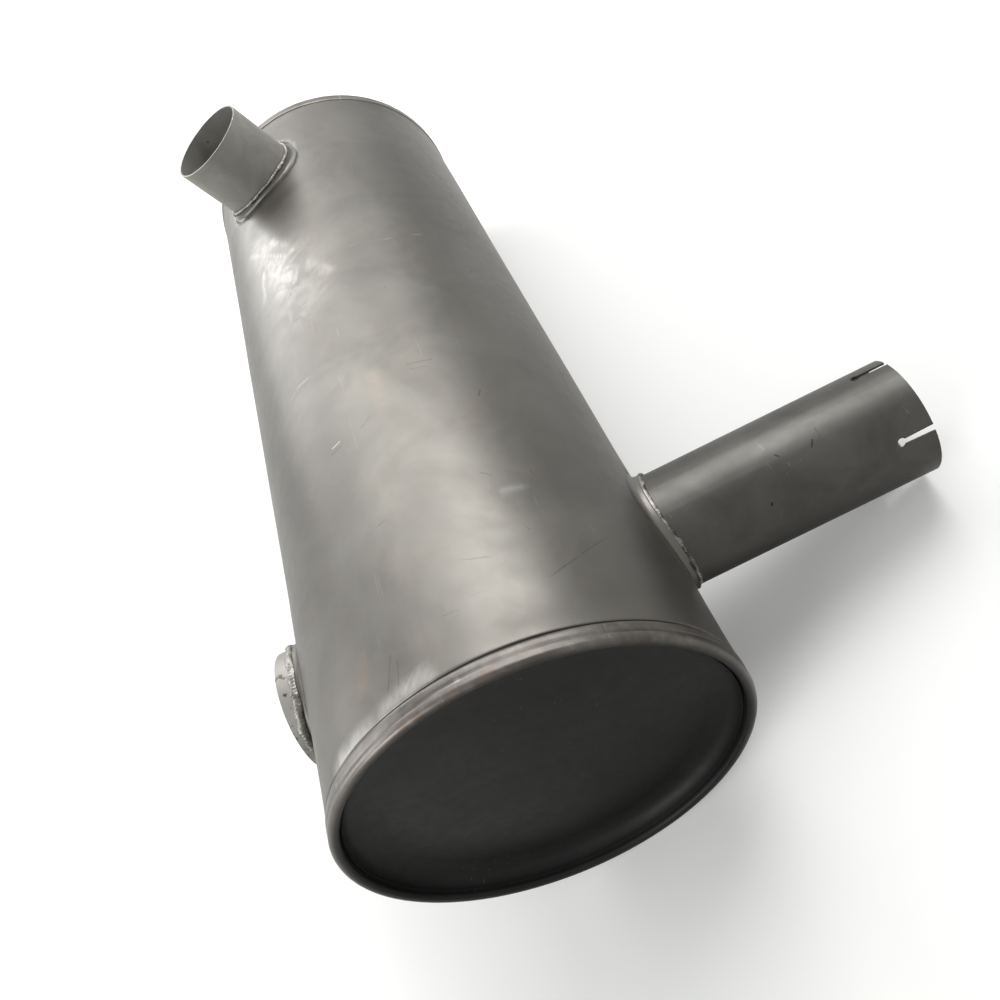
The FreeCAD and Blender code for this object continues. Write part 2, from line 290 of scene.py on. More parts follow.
# Sizes in millimetres of the patterns that all finishes share
EDGE_WOBBLE = 6.0
SCRATCH_SPACING = 2.2
SCRATCH_GROUP = 35.0
STROKE_WIDTH = 2.2
PIT_SWAY = 2.0
# Share of a mark's width that its edge wanders, and how much duller the darkened hollows, dirt and painted
# shade alike, are than clean steel
EDGE_SWAY = 0.8
HOLLOW_ROUGHNESS = 0.25
# Where each pattern's value starts to count and where it counts in full
CLOUD_SPAN = {"From Min": 0.34, "From Max": 0.66}
MOTTLE_SPAN = {"From Min": 0.3, "From Max": 0.7}
PATCH_SPAN = {"From Min": 0.38, "From Max": 0.62}
STROKE_SPAN = {"From Min": 0.3, "From Max": 0.6}
WARM_SPAN = {"From Min": 0.5, "From Max": 0.68}
SCRATCH_SPAN = {"From Min": 0.7, "From Max": 0.78}
GROUP_SPAN = {"From Min": 0.5, "From Max": 0.62}
PIT_WALL_SPAN = {"From Min": 0.05, "From Max": 0.45}
PIT_FLOOR_SPAN = {"From Min": 0.03, "From Max": 0.22}


def linear(colour: str) -> tuple[float, float, float, float]:
    """Turn an sRGB hex colour to the linear values that a shader takes.

    Args:
        colour: six hex digits after a hash.

    Returns:
        Red, green, blue and an alpha of one.
    """
    parts = np.array([int(colour[k : k + 2], 16) for k in (1, 3, 5)]) / 255
    parts = np.where(parts <= 0.04045, parts / 12.92, ((parts + 0.055) / 1.055) ** 2.4)
    return (*parts.tolist(), 1.0)


class NodeGraph:
    """Nodes of a material or of the world."""

    def __init__(self, owner: Material | World) -> None:
        """Empty a node tree.

        Args:
            owner: the material or world that the nodes belong to.
        """
        owner.use_nodes = True
        self.owner = owner
        self.tree = owner.node_tree
        self.tree.nodes.clear()

    def add(
        self, kind: str, inputs: dict | None = None, output: int | str = 0, **settings: object
    ) -> NodeSocket | None:
        """Add one node.

        Args:
            kind: the node's type without the ShaderNode prefix.
            inputs: values or output sockets by input name or number.
            output: name or number of the output that is wanted.
            settings: the node's own settings.

        Returns:
            The wanted output, or None from a node that has none.
        """
        node = self.tree.nodes.new("ShaderNode" + kind)
        for key, value in settings.items():
            setattr(node, key, value)
        for key, value in (inputs or {}).items():
            if isinstance(value, NodeSocket):
                self.tree.links.new(value, node.inputs[key])
            else:
                node.inputs[key].default_value = value
        return node.outputs[output] if len(node.outputs) else None


@dataclass
class Skin:
    """A finish while its layers are laid: the patterns that they share and what shows so far."""

    nodes: NodeGraph
    place: NodeSocket
    shift: NodeSocket
    patches: NodeSocket
    strokes: NodeSocket
    colour: NodeSocket
    rough: NodeSocket
    height: NodeSocket


@dataclass(frozen=True)
class Stroke:
    """A straight stroke over the steel between two places, in millimetres."""

    start: Place
    end: Place
    width: float
    colour: str
    strength: float


@dataclass(frozen=True)
class StainAndShade(Stroke):
    """A wide and soft area of the barrel, even or in patches: a stain, a burnish or painted shade."""

    patchy: bool = False


@dataclass(frozen=True)
class Mark(Stroke):
    """A mark whose edge fades over its soft share of the width. Depth is positive into the steel."""

    soft: float = 0.6
    roughness: float = 0.0
    depth: float = 0.0
    broken: float = 0.0
    brushed: float = 0.0

    def mask(self, skin: Skin) -> NodeSocket:
        """One inside the mark and zero outside: a smooth step of the distance to its line.

        Args:
            skin: the finish that the mark lies on.

        Returns:
            The mask's socket.
        """
        add = skin.nodes.add
        start = np.array(self.start) * MM
        way = (np.array(self.end) - np.array(self.start)) * MM
        uneven = (self.width * EDGE_SWAY * MM,) * 3
        moved = add("VectorMath", {0: skin.shift, 1: uneven, 2: skin.place}, operation="MULTIPLY_ADD")
        off = add("VectorMath", {0: moved, 1: tuple(-start)}, operation="ADD")
        along = add("VectorMath", {0: off, 1: tuple(way / (way @ way))}, "Value", operation="DOT_PRODUCT")
        held = add("Clamp", {"Value": along})
        off = add("VectorMath", {0: held, 1: tuple(-way), 2: off}, operation="MULTIPLY_ADD")
        far = add("VectorMath", {0: off}, "Value", operation="LENGTH")
        inner, outer = self.width * (1 - self.soft) / 2 * MM, self.width / 2 * MM
        edge = {"Value": far, "From Min": inner, "From Max": outer, "To Min": 1.0, "To Max": 0.0}
        return add("MapRange", edge, interpolation_type="SMOOTHSTEP")

    def lay(self, skin: Skin) -> None:
        """Lay the mark over a finish.

        Args:
            skin: the finish, which takes up the mark.
        """
        add = skin.nodes.add
        mask = self.mask(skin)
        if self.broken:
            bits = {"Value": skin.patches, "From Min": 0.5 - 0.15 * self.broken, "From Max": 0.66}
            mask = add("Math", {0: mask, 1: add("MapRange", bits)}, operation="MULTIPLY")
        if self.brushed:
            hairs = {"Value": skin.strokes, **STROKE_SPAN, "To Min": 1 - self.brushed}
            mask = add("Math", {0: mask, 1: add("MapRange", hairs)}, operation="MULTIPLY")
        share = add("Math", {0: mask, 1: self.strength}, operation="MULTIPLY")
        skin.colour = add("Mix", {0: share, 6: skin.colour, 7: linear(self.colour)}, 2, data_type="RGBA")
        if self.roughness:
            skin.rough = add("Math", {0: mask, 1: self.roughness, 2: skin.rough}, operation="MULTIPLY_ADD")
        if self.depth:
            skin.height = add("Math", {0: mask, 1: -self.depth, 2: skin.height}, operation="MULTIPLY_ADD")


@dataclass(frozen=True)
class SteelFinish:
    """Bare mild steel: a grey mill skin with clouds, mottling, a fine grain and handling marks."""

    name: str
    light: str
    dark: str
    metallic: float
    roughness: float
    rough_spread: float = 0.12
    cloud_size: float = 70.0
    mottle_size: float = 9.0
    mottle: float = 0.35
    patch_size: float = 24.0
    grain_size: float = 0.8
    grain_stretch: tuple[float, float, float] = (1.0, 1.0, 1.0)
    grain_turn: float = 0.0
    grain_depth: float = 0.012
    scratch_share: float = 0.22
    scratch_colour: str = "#c9c8c4"
    pit_size: float = 0.0
    pit_depth: float = 0.0
    hollow: str = ""
    tint: str = ""
    tint_share: float = 0.0
    marks: tuple[Mark, ...] = ()
    stained_and_shaded: bool = False

    def material(self) -> Material:
        """Build the node material.

        Returns:
            A material that reads Object coordinates and the piece's own attributes.
        """
        skin = self._mill_skin(NodeGraph(bpy.data.materials.new(self.name)))
        for wanted, lay in (
            (self.tint, self._tint), (self.scratch_share, self._scratch), (self.pit_size, self._pit),
            (self.stained_and_shaded, self._stain_and_shade),
        ):
            if wanted:
                lay(skin)
        for mark in self.marks:
            mark.lay(skin)
        if self.hollow:
            self._soil_and_shade(skin)
        add = skin.nodes.add
        bump = add("Bump", {"Height": skin.height, "Distance": MM, "Strength": 1.0})
        look = {"Base Color": skin.colour, "Roughness": skin.rough, "Metallic": self.metallic, "Normal": bump}
        add("OutputMaterial", {"Surface": add("BsdfPrincipled", look)})
        return skin.nodes.owner

    def _mill_skin(self, nodes: NodeGraph) -> Skin:
        """Lay two greys in clouds and mottles, with an uneven gloss and a fine grain.

        Args:
            nodes: the material's nodes.

        Returns:
            The finish so far, with the patterns that its other layers share.
        """
        add = nodes.add
        place = add("TexCoord", output="Object")
        wobble = add("TexNoise", {"Vector": place, "Scale": 1 / (EDGE_WOBBLE * MM), "Detail": 3.0}, "Color")
        shift = add("VectorMath", {0: wobble, 1: (-0.5, -0.5, -0.5)}, operation="ADD")
        cloudy = {"Scale": 1 / (self.cloud_size * MM), "Detail": 4.0, "Roughness": 0.6, "Distortion": 0.6}
        clouds = add("TexNoise", {"Vector": place, **cloudy})
        mottled = {"Scale": 1 / (self.mottle_size * MM), "Detail": 5.0, "Roughness": 0.65}
        mottle = {"Value": add("TexNoise", {"Vector": place, **mottled}), **MOTTLE_SPAN}
        turn = {"Rotation": (0, math.radians(self.grain_turn), 0), "Scale": self.grain_stretch}
        turned = add("Mapping", {"Vector": place, **turn})
        grain = add("TexNoise", {"Vector": turned, "Scale": 1 / (self.grain_size * MM), "Detail": 2.0})
        patchy = {"Scale": 1 / (self.patch_size * MM), "Detail": 2.0, "Distortion": 1.5}
        along = add("Mapping", {"Vector": place, "Scale": (1.0, 0.22, 1.0)})
        share = add("MapRange", {"Value": clouds, **CLOUD_SPAN})
        blend = add("MapRange", {**mottle, "To Min": -self.mottle, "To Max": self.mottle})
        mixed = add("Math", {0: share, 1: blend}, operation="ADD", use_clamp=True)
        greys = {0: mixed, 6: linear(self.dark), 7: linear(self.light)}
        low, high = self.roughness - self.rough_spread, self.roughness + self.rough_spread
        return Skin(
            nodes=nodes,
            place=place,
            shift=shift,
            patches=add("TexNoise", {"Vector": place, **patchy}),
            strokes=add("TexNoise", {"Vector": along, "Scale": 1 / (STROKE_WIDTH * MM), "Detail": 3.0}),
            colour=add("Mix", greys, 2, data_type="RGBA"),
            rough=add("MapRange", {**mottle, "To Min": low, "To Max": high}),
            height=add("Math", {0: grain, 1: self.grain_depth}, operation="MULTIPLY"),
        )

    def _tint(self, skin: Skin) -> None:
        """Lay faint warm clouds, three mottles wide, over the colour.

        Args:
            skin: the finish, which takes up the layer.
        """
        add = skin.nodes.add
        wide = {"Scale": 1 / (3 * self.mottle_size * MM), "Detail": 3.0, "Distortion": 1.2}
        heat = add("TexNoise", {"Vector": skin.place, **wide})
        warm = add("MapRange", {"Value": heat, **WARM_SPAN, "To Max": self.tint_share})
        skin.colour = add("Mix", {0: warm, 6: skin.colour, 7: linear(self.tint)}, 2, data_type="RGBA")

    def _scratch(self, skin: Skin) -> None:
        """Lay pale hair scratches over the colour: the peaks of a long noise, where another is high.

        Args:
            skin: the finish, which takes up the layer.
        """
        add = skin.nodes.add
        drawn = add("Mapping", {"Vector": skin.place, "Rotation": (0.5, 0.3, 0.4), "Scale": (1.0, 0.06, 1.0)})
        lines = add("TexNoise", {"Vector": drawn, "Scale": 1 / (SCRATCH_SPACING * MM), "Detail": 1.0})
        where = add("TexNoise", {"Vector": skin.place, "Scale": 1 / (SCRATCH_GROUP * MM), "Detail": 1.0})
        thin = add("MapRange", {"Value": lines, **SCRATCH_SPAN, "To Max": self.scratch_share})
        some = add("MapRange", {"Value": where, **GROUP_SPAN})
        share = add("Math", {0: thin, 1: some}, operation="MULTIPLY")
        pale = linear(self.scratch_colour)
        skin.colour = add("Mix", {0: share, 6: skin.colour, 7: pale}, 2, data_type="RGBA")

    def _pit(self, skin: Skin) -> None:
        """Sink round pits with dark floors, one in each uneven cell.

        Args:
            skin: the finish, which takes up the layer.
        """
        add = skin.nodes.add
        sway = (PIT_SWAY * MM,) * 3
        uneven = add("VectorMath", {0: skin.shift, 1: sway, 2: skin.place}, operation="MULTIPLY_ADD")
        cells = add("TexVoronoi", {"Vector": uneven, "Scale": 1 / (self.pit_size * MM)}, "Distance")
        walls = {"Value": cells, **PIT_WALL_SPAN, "To Min": -self.pit_depth, "To Max": 0.0}
        skin.height = add("Math", {0: skin.height, 1: add("MapRange", walls)}, operation="ADD")
        floors = add("MapRange", {"Value": cells, **PIT_FLOOR_SPAN, "To Min": 0.7, "To Max": 0.0})
        skin.colour = add("Mix", {0: floors, 6: skin.colour, 7: linear(self.dark)}, 2, data_type="RGBA")

    @staticmethod
    def _stain_and_shade(skin: Skin) -> None:
        """Lay the piece's two layers of stains over the colour: the even one, which also holds painted shade,
        and the patchy one.

        Args:
            skin: the finish, which takes up the layer.
        """
        add = skin.nodes.add
        bits = add("MapRange", {"Value": skin.patches, **PATCH_SPAN, "To Min": 0.4})
        hairs = add("MapRange", {"Value": skin.strokes, **STROKE_SPAN, "To Min": 0.75})
        patchy = add("Math", {0: bits, 1: hairs}, operation="MULTIPLY")
        for layer, pattern in (("shade", 1.0), ("smear", patchy)):
            share = add("Attribute", output="Fac", attribute_name=layer + "_share")
            share = add("Math", {0: share, 1: pattern}, operation="MULTIPLY")
            colour = add("Attribute", output="Vector", attribute_name=layer + "_colour")
            skin.colour = add("Mix", {0: share, 6: skin.colour, 7: colour}, 2, data_type="RGBA")

    def _soil_and_shade(self, skin: Skin) -> None:
        """Lay a dull dark colour where the piece's hollow attribute says: slag on the welds, a darker line and
        hem on the head's seam, and painted shade in the weld's corners and on the inner flank of the head's
        rim.

        Args:
            skin: the finish, which takes up the layer.
        """
        add = skin.nodes.add
        dirt_and_shade = add("Attribute", output="Fac", attribute_name="hollow")
        skin.colour = add("Mix", {0: dirt_and_shade, 6: skin.colour, 7: linear(self.hollow)}, 2, data_type="RGBA")
        skin.rough = add("Math", {0: dirt_and_shade, 1: HOLLOW_ROUGHNESS, 2: skin.rough}, operation="MULTIPLY_ADD")


# Wide and soft areas of the barrel: burnished and stained patches, painted shade down its right side and in the
# dent below the outlet, and darker bands by the near seam
BARREL_STAINS_AND_SHADE = (
    StainAndShade((-1.9, 90.0, 121.7), (3.0, 20.0, 121.6), 76.0, "#b8b6b0", 0.22, True),
    StainAndShade((-30.0, 150.0, 118.0), (-8.0, 60.0, 121.4), 46.0, "#c8c6c0", 0.22, True),
    StainAndShade((-12.0, 132.0, 121.0), (6.0, 96.0, 121.5), 12.0, "#e2e1dc", 0.22, True),
    StainAndShade((-41.9, 152.8, 114.3), (-1.1, 92.3, 121.7), 5.0, "#e2e1dc", 0.22),
    StainAndShade((-30.9, 104.8, 117.8), (-35.5, 70.1, 116.5), 7.0, "#e2e1dc", 0.4, True),
    StainAndShade((15.5, 62.3, 120.8), (29.6, 35.2, 118.1), 18.0, "#d5d3cd", 0.13, True),
    StainAndShade((-56.0, -330.0, 108.2), (14.0, -327.0, 120.9), 19.0, "#dedcd8", 0.42, True),
    # Painted shade: these three darken the barrel's right side along its whole length
    StainAndShade((100.0, -310.0, 70.0), (104.0, 200.0, 63.0), 120.0, "#3d3b38", 0.23),
    StainAndShade((118.0, -320.0, 25.0), (116.0, 325.0, 35.0), 110.0, "#33312e", 0.40),
    StainAndShade((112.0, 90.0, 45.0), (106.0, 330.0, 59.0), 110.0, "#33312e", 0.35),
    # These two darken a band just inside the near seam, from the top round to the right side
    StainAndShade((20.0, -322.0, 120.0), (62.0, -320.0, 104.7), 40.0, "#45433f", 0.29),
    StainAndShade((62.0, -320.0, 104.7), (100.0, -316.0, 69.0), 40.0, "#45433f", 0.29),
    StainAndShade((64.9, -217.2, 103.0), (82.5, -248.3, 89.5), 30.0, "#464440", 0.19),
    StainAndShade((79.2, -235.4, 92.5), (86.7, -234.3, 85.5), 9.0, "#a5a39e", 0.19),
    StainAndShade((-3.8, -251.7, 121.7), (19.8, -277.2, 120.1), 22.0, "#4b4945", 0.28, True),
    StainAndShade((22.9, -287.9, 119.6), (34.1, -307.6, 116.9), 16.0, "#4b4945", 0.3, True),
    StainAndShade((-41.6, -133.7, 114.4), (-36.0, -200.9, 116.3), 34.0, "#504e4a", 0.16),
    # Painted shade in the dent below the outlet's neck
    StainAndShade((-2.0, 182.8, 121.7), (-2.0, 176.0, 121.7), 26.0, "#4d4b48", 0.26),
    StainAndShade((93.6, 121.7, 77.9), (112.0, 126.0, 47.0), 17.0, "#45433f", 0.35, True),
    StainAndShade((81.5, -6.7, 90.4), (95.2, -25.9, 75.9), 18.0, "#45433f", 0.35, True),
    StainAndShade((110.0, -112.2, 52.1), (112.0, -130.6, 47.7), 14.0, "#3f3d3a", 0.22),
    StainAndShade((35.6, -100.1, 116.4), (37.9, -136.6, 115.7), 16.0, "#86746a", 0.22, True),
    StainAndShade((-29.0, -156.6, 118.2), (-29.5, -162.0, 118.0), 12.0, "#86746a", 0.14),
    StainAndShade((-19.6, -292.9, 120.2), (-22.8, -308.8, 119.6), 12.0, "#8a6f60", 0.3, True),
)

# Scratches and dings of the barrel: (from, to, width, how dark or light)
BARREL_SCRATCHES = (
    ((110.7, 8.0, 50.6), (109.0, 4.0, 54.0), 2.6, -0.85),
    ((87.6, -146.7, 84.5), (86.0, -152.0, 86.1), 1.5, -0.6),
    ((73.0, 172.8, 97.4), (73.0, 172.0, 97.4), 2.2, -0.7),
    ((62.2, -15.0, 104.7), (62.2, -15.6, 104.7), 1.8, -0.6),
    ((-5.6, 44.5, 121.6), (-6.4, 40.0, 121.5), 2.2, -0.5),
    ((-8.7, 5.4, 121.5), (-4.7, 5.4, 121.6), 1.8, -0.45),
    ((-5.6, -147.7, 121.6), (3.2, -147.4, 121.7), 1.4, -0.6),
    ((-6.3, -139.4, 121.6), (0.3, -138.0, 121.7), 1.1, -0.45),
    ((-3.6, -143.4, 121.6), (3.0, -142.4, 121.7), 1.3, 0.4),
    ((6.7, -225.8, 121.6), (17.9, -222.8, 120.4), 1.2, -0.5),
    ((19.7, -143.8, 120.1), (27.2, -139.2, 118.7), 1.2, -0.45),
    ((-31.0, -65.5, 117.7), (-18.0, -62.5, 120.4), 1.3, 0.35),
    ((-18.0, -62.5, 120.4), (-7.6, -64.4, 121.5), 1.1, 0.3),
    ((-32.0, -68.5, 117.5), (-8.6, -67.4, 121.4), 1.4, -0.3),
    ((81.7, -299.8, 90.3), (96.0, -288.0, 75.0), 1.3, -0.45),
    ((96.0, -288.0, 75.0), (108.0, -274.6, 56.3), 1.1, -0.4),
    ((48.5, -273.3, 111.7), (64.0, -278.5, 103.6), 1.1, -0.4),
    ((66.4, -279.5, 102.1), (68.6, -274.0, 100.6), 1.0, -0.35),
    ((45.8, -296.6, 112.8), (54.5, -296.7, 108.9), 1.1, -0.4),
    ((54.5, -296.7, 108.9), (60.0, -302.1, 106.0), 1.0, -0.35),
    ((31.8, -300.5, 117.5), (41.0, -301.5, 114.7), 1.2, -0.4),
    ((80.4, -262.1, 91.4), (82.2, -266.4, 89.8), 1.4, -0.4),
    ((72.0, -217.9, 98.2), (76.5, -222.2, 94.7), 1.3, -0.45),
    ((92.7, -222.1, 78.9), (93.7, -226.4, 77.8), 1.2, -0.45),
    ((57.9, -107.0, 107.1), (71.7, -108.6, 98.4), 1.4, -0.4),
    ((59.4, -112.6, 106.3), (68.4, -114.5, 100.7), 1.2, -0.3),
    ((48.3, 54.8, 111.8), (73.5, 49.8, 97.0), 1.3, 0.06),
    ((73.5, 49.8, 97.0), (94.8, 54.5, 76.4), 1.2, 0.2),
    ((-0.3, -303.7, 121.7), (-6.6, -320.2, 121.6), 1.3, -0.35),
    ((3.0, -309.0, 121.6), (0.0, -322.0, 121.7), 1.1, -0.3),
)
BARREL_MARKS = tuple(
    Mark(start, end, width, "#2f2d2a" if tone < 0 else "#d8d6d1", abs(tone), 0.8)
    for start, end, width, tone in BARREL_SCRATCHES
)

SEAM_MARKS = (
    Mark((14.0, -338.0, 121.0), (62.0, -338.0, 105.0), 56.0, "#3f3c38", 0.45, 0.9),
    Mark((62.0, -338.0, 105.0), (105.0, -338.0, 62.0), 56.0, "#3f3c38", 0.5, 0.9),
    Mark((105.0, -338.0, 62.0), (121.0, -338.0, 0.0), 56.0, "#3f3c38", 0.4, 0.9),
    Mark((-5.4, -342.0, 121.6), (45.9, -342.0, 112.8), 13.0, "#5a483d", 0.5, 1.0, broken=0.6),
    Mark((-60.0, -337.0, 106.0), (30.0, -337.0, 118.0), 5.0, "#c4bfb9", 0.3, 1.0, -0.08, brushed=1.0),
)

INLET_MARKS = (
    Mark((181.4, -257.6, -34.4), (183.4, -254.5, -33.6), 2.0, "#0f0f0e", 0.9, 0.6),
    Mark((200.9, -237.4, -24.6), (202.5, -239.4, -25.4), 1.7, "#191918", 0.75, 0.8),
    Mark((204.0, -236.0, -24.0), (207.0, -237.0, -24.4), 1.0, "#191918", 0.6, 0.9),
    Mark((220.4, -242.5, -32.8), (223.0, -239.0, -32.2), 1.8, "#191918", 0.75, 0.8),
    Mark((228.8, -233.3, -32.3), (228.0, -239.0, -33.9), 1.1, "#191918", 0.55, 0.9),
    # Painted light: a paler, duller band over the stub's end, lighter than the tube so that it looks lit from
    # the left
    Mark((-106.9, -226.0, 33.4), (-133.6, -226.0, 41.7), 106.0, "#8f8d88", 0.8, 0.15, 0.12),
    Mark((160.8, -224.0, -10.3), (175.0, -233.5, -15.5), 2.6, "#383735", 0.5, 1.0, broken=1.0),
)

OUTLET_MARKS = (
    Mark((-23.7, 281.6, 165.8), (-24.0, 282.4, 165.6), 2.6, "#1f1e1d", 0.8, 0.6),
    Mark((20.6, 232.0, 182.4), (19.4, 230.0, 183.8), 3.0, "#d5d3ce", 0.6, 0.7, depth=0.1),
    Mark((-23.5, 211.4, 123.6), (9.0, 214.2, 129.7), 9.0, "#5a5854", 0.25, 1.0),
)

# Cold-rolled sheet, rubbed matt by handling: a soft broad sheen with cloudy grey patches
BARREL_STEEL = SteelFinish(
    "rolled_mild_steel_sheet", "#66645f", "#595753", 0.85, 0.43, rough_spread=0.035, mottle=0.1,
    marks=BARREL_MARKS, stained_and_shaded=True, tint="#6f665c", tint_share=0.15, scratch_share=0.05,
)
# Deep-drawn sheet, darker and duller: a dark mill skin, and painted shade too, since the colour is made darker
# to stand in for the shade on the near head's face
HEAD_STEEL = SteelFinish(
    "pressed_mild_steel_head", "#1c1c1b", "#161615", 0.7, 0.52, rough_spread=0.05, mottle=0.2,
    cloud_size=45.0, scratch_share=0.06,
)
# The same sheet where the seaming rollers have burnished it
SEAM_STEEL = SteelFinish(
    "rolled_lock_seam_steel", "#716e6a", "#5d5a56", 0.85, 0.38, rough_spread=0.05, mottle=0.15,
    cloud_size=30.0, marks=SEAM_MARKS, tint="#65574c", tint_share=0.2, hollow="#1d1b19",
)
# Welded steel tube, a dark mill skin that shines along its length
PIPE_STEEL = SteelFinish(
    "drawn_steel_tube", "#4d4c49", "#42413e", 0.9, 0.45, rough_spread=0.04, mottle=0.12, cloud_size=40.0,
    mottle_size=5.0, grain_stretch=(0.15, 1.0, 1.0), grain_turn=INLET_DIP, marks=INLET_MARKS,
    scratch_share=0.08,
)
# The same tube after blasting: paler and duller
OUTLET_STEEL = SteelFinish(
    "blasted_steel_tube", "#87857f", "#787670", 0.6, 0.55, rough_spread=0.04, cloud_size=30.0,
    mottle_size=4.0, mottle=0.1, grain_size=0.6, scratch_share=0.08, marks=OUTLET_MARKS,
)
# Arc weld metal: rippled, bright on the crests, with slag in the hollows and painted shade in the bead's
# corners
WELD_STEEL = SteelFinish(
    "arc_weld_metal", "#93908b", "#5d5a56", 0.85, 0.4, cloud_size=6.0, mottle_size=2.2, mottle=0.5,
    grain_size=0.5, grain_depth=0.05, scratch_share=0.0, pit_size=2.6, pit_depth=0.12, hollow="#1a1918",
)
# Sheet and tube inside, brown-grey with soot
INNER_STEEL = SteelFinish(
    "sooted_inner_steel", "#6e6a64", "#4c4843", 0.6, 0.55, cloud_size=35.0, tint="#5d4636", tint_share=0.4,
)


# Pieces of the muffler


def lay_stains_and_shade(points: np.ndarray, stains_and_shade: tuple[StainAndShade, ...]) -> tuple[np.ndarray, np.ndarray]:
    """Lay stains and painted shade over one another on a piece's points.

    Each covers a share s = strength * (1 - d)^2 * (1 + 2 * d), where d is the distance to its line
    over half its width, held to 0 and 1. Laid over share S of colour C it gives the share
    s + S * (1 - s) and the colour (s * c + S * (1 - s) * C) / (s + S * (1 - s)).

    Args:
        points: places in millimetres.
        stains_and_shade: the stains and the painted shade, the lowest first.

    Returns:
        The colour and the share of it at each point.
    """
    colour = np.full_like(points, 0.2)
    share = np.zeros(len(points))
    for stain_or_shade in stains_and_shade:
        start, way = np.array(stain_or_shade.start), np.array(stain_or_shade.end) - np.array(stain_or_shade.start)
        held = np.clip((points - start) @ way / (way @ way), 0, 1)
        off = np.linalg.norm(points - start - held[:, None] * way, axis=1) / (stain_or_shade.width / 2)
        d = np.clip(off, 0, 1)
        over = stain_or_shade.strength * (1 - d) ** 2 * (1 + 2 * d)
        under = share * (1 - over)
        total = np.maximum(over + under, 1e-6)
        own = np.array(linear(stain_or_shade.colour)[:3])
        blended = (over[:, None] * own + under[:, None] * colour) / total[:, None]
        colour = np.where(total[:, None] > 1e-5, blended, colour)
        share = over + under
    return colour, share


def on_root(piece: Object, slot: Slot, material: Material, *nodes: str) -> Object:
    """Dress a piece, let it ride with the muffler and stand for its CAD nodes.

    Args:
        piece: the new piece.
        slot: the record's material slot; not used.
        material: its finish.
        nodes: CAD nodes that it replaces.

    Returns:
        The piece.
    """
    piece.data.materials.append(material)
    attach(piece, "root")
    if nodes:
        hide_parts(*nodes)
    log.info("%s: %d vertices, %s", piece.name, len(piece.data.vertices), material.name)
    return piece


@dataclass(frozen=True)
class Dent:
    """A shallow bell-shaped hollow in the barrel's wall, its place and half sizes in degrees and mm."""

    angle: float
    along: float
    half_width: float
    half_length: float
    depth: float


